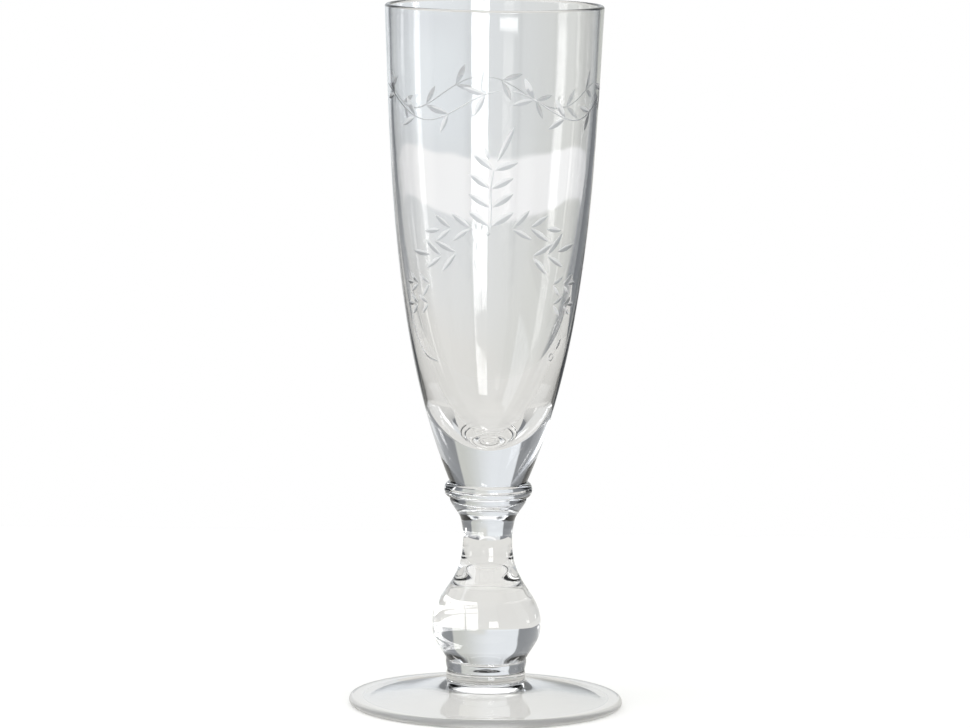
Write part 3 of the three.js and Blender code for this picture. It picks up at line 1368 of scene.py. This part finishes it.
    @staticmethod
    def sprig() -> list[Branch]:
        """Lays out the upright sprig: a stem with four pairs of leaves, two leaves on top and a bud below.

        Returns:
            The stem, the long top leaf, the small one and the bud.
        """
        stem = Branch(
            "sprig",
            path=((-0.9, 131.6), (-0.6, 137.0), (-0.9, 143.0), (0.9, 148.6)),
            pairs=4,
            spread=58,
            leaf_length=6.9,
            leaf_width=2.0,
            leaf_depth=0.4,
            leaf_bend=0.5,
            twig_width=0.5,
            twig_depth=0.15,
            unevenness=0.06,
            seed=5,
        )
        top_path, crown_path, bud_path = (
            ((1.4, 148.8), (2.2, 149.6)),
            ((-1.2, 149.6), (-1.6, 150.2)),
            ((-2.3, 129.6), (-2.3, 129.9)),
        )
        top = Branch("sprig_top", path=top_path, end_leaf=10.8, twig_width=0.0, unevenness=0.0)
        crown = replace(top, name="sprig_crown", path=crown_path, end_leaf=3.6, leaf_width=1.1)
        bud = replace(top, name="bud", path=bud_path, end_leaf=1.3, leaf_width=1.3, leaf_bend=0.0)
        return [stem, top, crown, bud]


@dataclass
class Bowl(TurnedPiece):
    """The blown bowl: thin at its melted lip, thick at the bottom, with the garland cut into its outside."""

    cutter: WheelCutter
    node: ClassVar[str] = "bowl"
    slot: ClassVar[Slot] = Slot.BOWL
    wall_steps: ClassVar[int] = 96
    measured_steps: ClassVar[int] = 600  # of the outside on which the pattern is laid
    batch: ClassVar[int] = 4096  # vertices that are compared with the outline at a time
    base_radius: float = 10.4
    rim_wall: float = 1.5
    floor: float = 10.8
    swell: Point = (16.1, 38.4)
    rim_lean: Point = (2.1, 43.0)
    cavity_floor_reach: float = 9.9
    cavity_rim_lean: Point = (1.9, 96.5)

    def __post_init__(self) -> None:
        """Reads the bowl's place and lays out its outside with the direction that each point faces."""
        super().__post_init__()
        self._walls = self.facing(self.outside(self.measured_steps))

    @property
    def lip_height(self) -> float:
        """Height of the lip's centre over the bowl's base."""
        return self.height - self.rim_wall / 2

    @staticmethod
    def facing(points: Sequence[Point]) -> np.ndarray:
        """Finds the direction that an outline faces.

        Args:
            points: The outline, as radius and height, with the glass on its left.

        Returns:
            Rows of radius, height, and the outward direction's two parts.
        """
        spots = np.array(points)
        along = np.gradient(spots, axis=0)
        along /= np.linalg.norm(along, axis=1)[:, None]
        return np.column_stack((spots, along[:, 1], -along[:, 0]))

    def wall(self, height: float) -> tuple[float, float, float]:
        """Measures the outside at a height.

        Args:
            height: Millimetres over the table.

        Returns:
            The radius, and the two parts of the outward direction.
        """
        rows, level = self._walls, height - self.low
        return tuple(float(np.interp(level, rows[:, 1], rows[:, column])) for column in (0, 2, 3))

    def outside(self, steps: int) -> list[Point]:
        """Draws the outer wall, from the base up to the lip.

        Args:
            steps: How many steps it takes.

        Returns:
            The points, as radius and height over the base.
        """
        lower_handle = (self.base_radius + self.swell[0], self.swell[1])
        upper_handle = (self.reach - self.rim_lean[0], self.lip_height - self.rim_lean[1])
        return curve((self.base_radius, 0), lower_handle, upper_handle, (self.reach, self.lip_height), steps)

    def outline(self) -> list[Point]:
        """Draws the outline, from the middle of the base up the outside, over the lip and down the cavity.

        Returns:
            The outline's points.
        """
        inner_rim = self.reach - self.rim_wall
        lip = self.rim_wall / 2
        return outline_of(
            line((0, 0), (self.base_radius, 0)),
            self.outside(self.wall_steps),
            rounding((self.reach - lip, self.lip_height), lip, 0, 180),
            curve(
                (inner_rim, self.lip_height),
                (inner_rim - self.cavity_rim_lean[0], self.lip_height - self.cavity_rim_lean[1]),
                (self.cavity_floor_reach, self.floor),
                (0, self.floor),
                self.wall_steps,
            ),
        )

    def finish(self, piece: bpy.types.Object) -> bpy.types.Object:
        """Cuts the garland, then gives the polished glass the smooth turns of its outline.

        Args:
            piece: The turned bowl.

        Returns:
            The same object.
        """
        self.cutter.cut(piece, self.cutter.stones(self, Garland().branches()))
        self.polish(piece.data)
        return super().finish(piece)

    def polish(self, mesh: bpy.types.Mesh) -> None:
        """Sets the normals: the outline's own where the glass is polished, the cut's own where it is ground.

        Args:
            mesh: The cut bowl.
        """
        slots = list(mesh.materials)
        matt = [slots.index(self.cutter.ground), slots.index(self.cutter.coarse)]
        mesh.polygons.foreach_set("use_smooth", ~np.isin(numbers(mesh.polygons, "material_index"), matt))
        places = vectors(mesh.vertices, "co") / MM
        reach, outward = off_axis(places)
        level = places[:, 2] - self.low
        rows = self.facing(self.outline()[1:])
        nearest = np.empty(len(places), dtype=np.int64)
        for start in range(0, len(places), self.batch):
            part = slice(start, start + self.batch)
            gap = (reach[part, None] - rows[None, :, 0]) ** 2 + (level[part, None] - rows[None, :, 1]) ** 2
            nearest[part] = gap.argmin(axis=1)
        facing = rows[nearest]
        normals = np.column_stack((outward * facing[:, 2:3], facing[:, 3]))
        mesh.normals_split_custom_set(normals[numbers(mesh.loops, "vertex_index")].tolist())


@dataclass(frozen=True)
class PaleFloor:
    """A sheet of matt white paper under the glass."""

    half_size: float = 0.3
    sunk: float = 0.05 * MM  # clear of the glass's resting ring, so that the two faces don't flicker

    def build(self) -> bpy.types.Object:
        """Makes the floor.

        Returns:
            The floor.
        """
        mesh = bpy.data.meshes.new("floor")
        signs = ((-1, -1), (1, -1), (1, 1), (-1, 1))
        corners = [(x * self.half_size, y * self.half_size, -self.sunk) for x, y in signs]
        mesh.from_pydata(corners, [], [(0, 1, 2, 3)])
        mesh.materials.append(MattPaper().make())
        floor = add_object("floor", mesh)
        return floor


@dataclass(frozen=True)
class SoftLight:
    """A lit or shaded patch of the studio's sky. Its place and sizes are in degrees."""

    name: str
    azimuth: float  # of its middle, 0 towards the camera's side and positive to its right
    elevation: float  # of its middle
    half_width: float
    half_height: float
    strength: float
    colour: str = WHITE
    edge: float = 1.0
    sag: float = 0.0  # how far its two ends hang below its middle


@dataclass(frozen=True)
class Studio:
    """The plain soft studio: pale panels to the four sides, grey between them, and a soft light overhead.

    Its angles are in degrees.
    """

    panel_half_width: float = 28.0
    panel_edge: float = 1.2
    panel_colour: str = "#e5e9ed"
    horizon: float = -5.4  # the table's far edge
    table_half_width: float = 17.0
    table_edge: float = 1.5
    near_table_colour: str = "#e3e2de"
    far_table_colour: str = "#e4e8eb"
    far_table_elevation: float = -5.0
    near_table_elevation: float = -13.0
    between_colour: str = "#7d8084"
    shaded_panel_colour: str = "#c4c6c1"
    shade_across: Point = (156.0, 186.0)  # azimuths from which the back panel's shade thins, and is gone
    shade_from: float = 120.0
    open_below: Point = (-26.0, -36.0)  # lower down, the paper runs on all round the glass
    overhead_colour: str = WHITE
    overhead_strength: float = 1.3
    overhead_start: float = 50.0
    overhead_edge: float = 8.0
    side_panel_half_width: float = 16.0
    panels_turned: float = -1.0
    tables_turned: float = 5.0
    lights: tuple[SoftLight, ...] = (  # azimuth, elevation, half width and height, strength, colour, edge
        SoftLight("front_right_screen", 51.0, 12.0, 21.0, 38.0, 1.0, "#c6c9cc", 3.0),
        SoftLight("front_left_screen", -53.0, 12.0, 21.0, 38.0, 1.0, "#c6c9cc", 3.0),
        SoftLight("back_right_shade", 173.0, -7.0, 6.0, 9.0, 1.0, "#d9dad6", 3.0),
        SoftLight("back_left_glow", -166.0, -3.9, 13.0, 1.5, 1.0, "#ecf1f4", 1.0),
        SoftLight("left_table_glow", -137.0, -22.0, 16.0, 10.0, 1.0, "#b2b4b6", 6.0),
        SoftLight("right_table_shade", 60.0, -19.0, 12.0, 8.0, 1.0, "#5c5d5e", 6.0),
        SoftLight("right_table_edge", 88.0, -20.0, 9.0, 9.0, 1.0, "#bcbdb8", 6.0),
        SoftLight("front_window", 15.7, 4.5, 9.8, 9.4, 9.0, WHITE, 0.4),
        SoftLight("front_window_lintel", 15.7, 6.85, 9.8, 0.62, 1.2, WHITE, 0.25),
        SoftLight("front_window_bar", 14.0, 9.5, 0.5, 5.0, 1.0, "#b0b2b4", 0.15),
        SoftLight("front_lamp", -17.3, -1.1, 5.3, 0.2, 8.0, WHITE, 0.1),
        SoftLight("front_glow", -16.0, 1.2, 5.5, 2.0, 2.0),
        SoftLight("right_strip", 99.0, 1.0, 4.2, 2.6, 4.0),
        SoftLight("right_slit", 131.0, 1.0, 3.0, 2.6, 2.5),
        SoftLight("left_strip", -84.0, 1.0, 7.0, 2.6, 4.0),
        SoftLight("left_slit", -112.0, 1.0, 2.0, 2.6, 2.5),
        SoftLight("left_window", -68.0, 30.0, 18.0, 15.0, 2.8, "#f4f8ff"),
        SoftLight("table_far_edge", 180.0, -6.5, 14.0, 0.68, 1.0, WHITE, 0.08, sag=1.7),
    )

    def build(self) -> bpy.types.World:
        """Builds the world, which is plain white to the camera.

        Returns:
            The finished world, which the scene uses.
        """
        world = bpy.data.worlds.new("studio")
        world.use_nodes = True
        tree = world.node_tree
        tree.nodes.clear()
        add = partial(add_node, tree)
        sky = add("ShaderNodeTexCoord").outputs["Generated"]
        axes = add("ShaderNodeSeparateXYZ", sky).outputs
        elevation = add("ShaderNodeMath", axes["Z"], operation="ARCSINE")
        to_camera = add("ShaderNodeMath", axes["Y"], -1.0, operation="MULTIPLY")
        azimuth = add("ShaderNodeMath", axes["X"], to_camera, operation="ARCTAN2")
        light = self.room(tree, azimuth, elevation)
        for lamp in self.lights:
            light = self.lit_by(lamp, tree, azimuth, elevation, light)
        lit = add("ShaderNodeBackground", light, 1.0)
        white = add("ShaderNodeBackground", linear(WHITE), 1.0)
        seen = add("ShaderNodeMixShader", add("ShaderNodeLightPath").outputs["Is Camera Ray"], lit, white)
        add("ShaderNodeOutputWorld", seen)
        bpy.context.scene.world = world
        return world

    def room(self, tree: bpy.types.NodeTree, azimuth: Value, elevation: Value) -> bpy.types.Node:
        """Builds the colour of the panels, of the table under them and of the light overhead.

        Args:
            tree: The world's node tree.
            azimuth: The azimuth that is looked to, in radians.
            elevation: The elevation that is looked to, in radians.

        Returns:
            The node with the colour.
        """
        add = partial(add_node, tree)
        facing = add("ShaderNodeMath", azimuth, math.radians(self.panels_turned), operation="SUBTRACT")
        off_side = add("ShaderNodeMath", facing, QUARTER_TURN / 2, operation="PINGPONG")
        off_front = add("ShaderNodeMath", facing, QUARTER_TURN, operation="PINGPONG")
        past_table = add("ShaderNodeMath", azimuth, math.radians(self.tables_turned), operation="SUBTRACT")
        off_table = add("ShaderNodeMath", past_table, QUARTER_TURN / 2, operation="PINGPONG")
        above = add("ShaderNodeMath", elevation, math.radians(self.horizon), operation="GREATER_THAN")
        front = self.fade(self.panel_half_width, self.panel_edge)
        side = self.fade(self.side_panel_half_width, self.panel_edge)
        on_front = add("ShaderNodeMapRange", off_front, *front, **SOFTLY)
        on_side = add("ShaderNodeMapRange", off_side, *side, **SOFTLY)
        lit_share = add("ShaderNodeMath", on_front, on_side, operation="MAXIMUM")

        past_corner = add("ShaderNodeMath", azimuth, math.radians(self.shade_from), operation="SUBTRACT")
        past_corner = add("ShaderNodeMath", past_corner, math.tau, 0.0, operation="WRAP")
        shade = [math.radians(across - self.shade_from) for across in self.shade_across]
        in_light = add("ShaderNodeMapRange", past_corner, *shade, **SOFTLY)
        tones = {"A": linear(self.shaded_panel_colour), "B": linear(self.panel_colour)}
        panel = add("ShaderNodeMix", inputs={"Factor": in_light, **tones}, data_type="RGBA")
        between = linear(self.between_colour)
        panelled = {"Factor": lit_share, "A": between, "B": panel}
        panels = add("ShaderNodeMix", inputs=panelled, data_type="RGBA")

        ends = (math.radians(self.near_table_elevation), math.radians(self.far_table_elevation))
        farness = add("ShaderNodeMapRange", elevation, *ends)
        tones = {"A": linear(self.near_table_colour), "B": linear(self.far_table_colour)}
        tabletop = add("ShaderNodeMix", inputs={"Factor": farness, **tones}, data_type="RGBA")
        open_share = add("ShaderNodeMapRange", elevation, *map(math.radians, self.open_below))
        reach = self.fade(self.table_half_width, self.table_edge)
        on_table = add("ShaderNodeMapRange", off_table, *reach, **SOFTLY)
        table_share = add("ShaderNodeMath", open_share, on_table, operation="MAXIMUM")
        spread = {"Factor": table_share, "A": between, "B": tabletop}
        table = add("ShaderNodeMix", inputs=spread, data_type="RGBA")
        room = add("ShaderNodeMix", inputs={"Factor": above, "A": table, "B": panels}, data_type="RGBA")

        start = self.fade(self.overhead_start, self.overhead_edge)
        below = add("ShaderNodeMapRange", elevation, *start, **SOFTLY)
        overhead = add("ShaderNodeMath", 1.0, below, operation="SUBTRACT")
        lit = {"Factor": overhead, "A": room, "B": linear(self.overhead_colour, self.overhead_strength)}
        return add("ShaderNodeMix", inputs=lit, data_type="RGBA")

    def lit_by(
        self,
        lamp: SoftLight,
        tree: bpy.types.NodeTree,
        azimuth: Value,
        elevation: Value,
        under: bpy.types.Node,
    ) -> bpy.types.Node:
        """Lays one light over the studio.

        Args:
            lamp: The light.
            tree: The world's node tree.
            azimuth: The azimuth that is looked to, in radians.
            elevation: The elevation that is looked to, in radians.
            under: The node with the studio's colour so far.

        Returns:
            The node with the colour, labelled with the light's name.
        """
        add = partial(add_node, tree)
        across = add("ShaderNodeMath", azimuth, math.radians(lamp.azimuth), operation="SUBTRACT")
        across = add("ShaderNodeMath", across, math.pi, -math.pi, operation="WRAP")
        across = add("ShaderNodeMath", across, operation="ABSOLUTE")
        bend = math.radians(lamp.sag) / math.radians(lamp.half_width) ** 2
        squared = add("ShaderNodeMath", across, across, operation="MULTIPLY")
        height = add("ShaderNodeMath", squared, bend, elevation, operation="MULTIPLY_ADD")
        up = add("ShaderNodeMath", height, math.radians(lamp.elevation), operation="SUBTRACT")
        up = add("ShaderNodeMath", up, operation="ABSOLUTE")
        wide = add("ShaderNodeMapRange", across, *self.fade(lamp.half_width, lamp.edge), **SOFTLY)
        high = add("ShaderNodeMapRange", up, *self.fade(lamp.half_height, lamp.edge), **SOFTLY)
        patch = add("ShaderNodeMath", wide, high, operation="MULTIPLY")
        over = {"Factor": patch, "A": under, "B": linear(lamp.colour, lamp.strength)}
        return add("ShaderNodeMix", inputs=over, data_type="RGBA", label=lamp.name)

    @staticmethod
    def fade(reach: float, edge: float) -> tuple[float, float, float, float]:
        """What a Map Range node takes to give 1 up to a reach and 0 beyond it, with a soft edge."""
        return math.radians(reach - edge), math.radians(reach + edge), 1.0, 0.0


@dataclass(frozen=True)
class PhotoCamera:
    """The camera at the photograph's angle, solved from the ellipses of the rim and the foot."""

    distance: float = 1456.9 * MM
    height: float = 274.4 * MM
    pitch: float = 7.096  # degrees below level
    roll: float = 0.7626  # the glass leans this far to the right in the picture
    aside: float = 4.98  # pixels from the picture's middle to the axis of the glass, at half height
    focal_pixels: float = 5447.07
    picture_width: int = 970
    sensor: float = 36.0
    clip: Point = (0.05, 100.0)

    def build(self) -> bpy.types.Object:
        """Makes the camera and gives it to the scene.

        Returns:
            The camera.
        """
        data = bpy.data.cameras.new("photo_camera")
        data.sensor_width = self.sensor
        data.lens = self.focal_pixels / self.picture_width * self.sensor
        data.clip_start, data.clip_end = self.clip
        camera = add_object("photo_camera", data)
        yaw = math.atan(self.aside / self.focal_pixels)
        turn = Matrix.Rotation(yaw, 4, "Z")
        tip = Matrix.Rotation(QUARTER_TURN - math.radians(self.pitch), 4, "X")
        lean = Matrix.Rotation(math.radians(self.roll), 4, "Z")
        camera.matrix_world = Matrix.Translation((0, -self.distance, self.height)) @ turn @ tip @ lean
        bpy.context.scene.camera = camera
        return camera


def main() -> None:
    """Builds the studio and the glass, piece by piece from the foot up, and reports each piece."""
    bpy.context.scene.view_settings.view_transform = "Standard"
    PhotoCamera().build()
    Studio().build()
    PaleFloor().build()

    joint = FusedJoint().make()
    stem_glass = PolishedGlass("tooled_clear_glass", wave_length=8 * MM).make()
    foot_glass = PolishedGlass("spun_clear_glass").make()
    bowl_glass = PolishedGlass("blown_clear_glass", wave_length=12 * MM).make()
    worn = GroundGlass("worn_clear_glass", "#e6e5e2", roughness=0.35, scatter=0.45).make()
    # the cut glass in two copies: a white one as painted light on the lower slopes, a grey one as painted
    # shade on the upper ones
    ground_and_painted_light = GroundGlass("fine_ground_glass", WHITE, roughness=0.35, scatter=0.5).make()
    coarse = GroundGlass("coarse_ground_glass", "#ced1d5").make()
    gathers = [
        Foot(foot_glass, joint, joint, worn),
        *(gather(stem_glass, joint, joint) for gather in (FootCollar, BalusterStem, CollarStep, CollarRing)),
        Bowl(bowl_glass, joint, bowl_glass, WheelCutter(ground_and_painted_light, coarse)),
    ]
    for gather in gathers:
        piece = gather.build()
        log.info("%s: %d faces", piece.name, len(piece.data.polygons))


if __name__ == "__main__":
    main()
